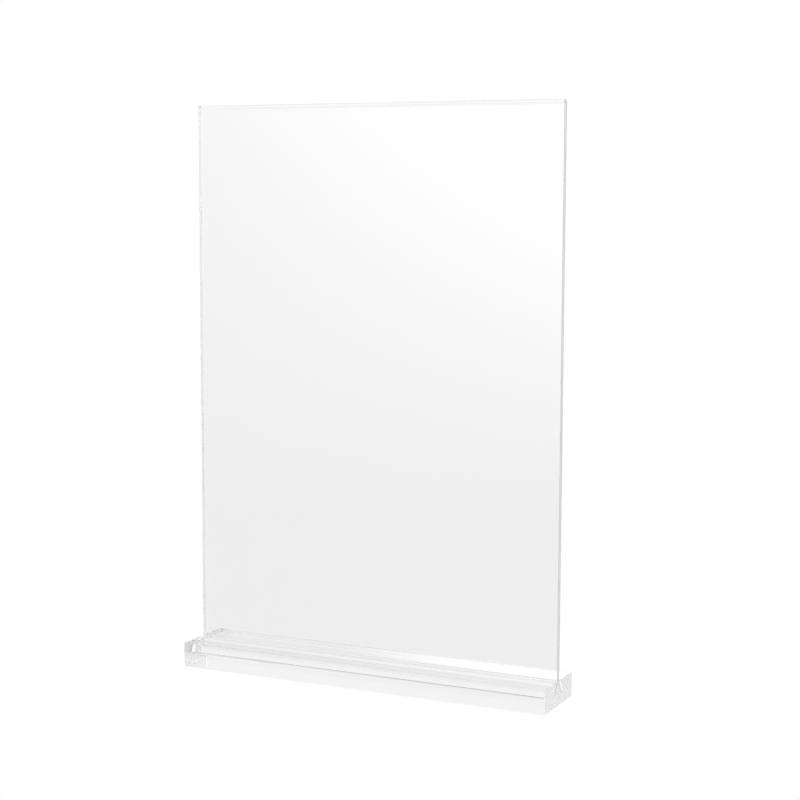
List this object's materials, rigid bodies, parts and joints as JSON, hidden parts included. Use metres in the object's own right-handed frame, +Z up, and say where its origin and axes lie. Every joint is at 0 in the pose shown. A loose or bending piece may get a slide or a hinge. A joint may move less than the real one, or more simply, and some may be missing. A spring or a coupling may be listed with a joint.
{
  "type": "clear tabletop print stand",
  "caption": "Clear upright display stand: a folded transparent sheet that holds a print between its leaves and slides into an inverted-V slot through a solid clear block.",
  "frame": {"origin": "middle of the block's underside, on the surface that the stand rests on", "axes": "+Z up, from the block to the fold at the top; +X along the width of the sheet and of the slot; -Y is the front, square to the leaves"},
  "size_m": [0.212, 0.0384, 0.305],
  "materials": {
    "clear_block": "clear cast acrylic, flame-polished faces, fine saw marks on the two ends",
    "clear_sheet": "clear cast acrylic sheet, polished faces, laser-cut edges"
  },
  "bodies": {
    "block": {"base_block": "clear_block"},
    "sheet": {"folded_sheet": "clear_sheet"}
  },
  "joints": [
    {"name": "sheet_slide", "type": "slide", "parent": "block", "child": "sheet", "axis": [1, 0, 0], "range_m": [-0.211, 0.21]}
  ]
}
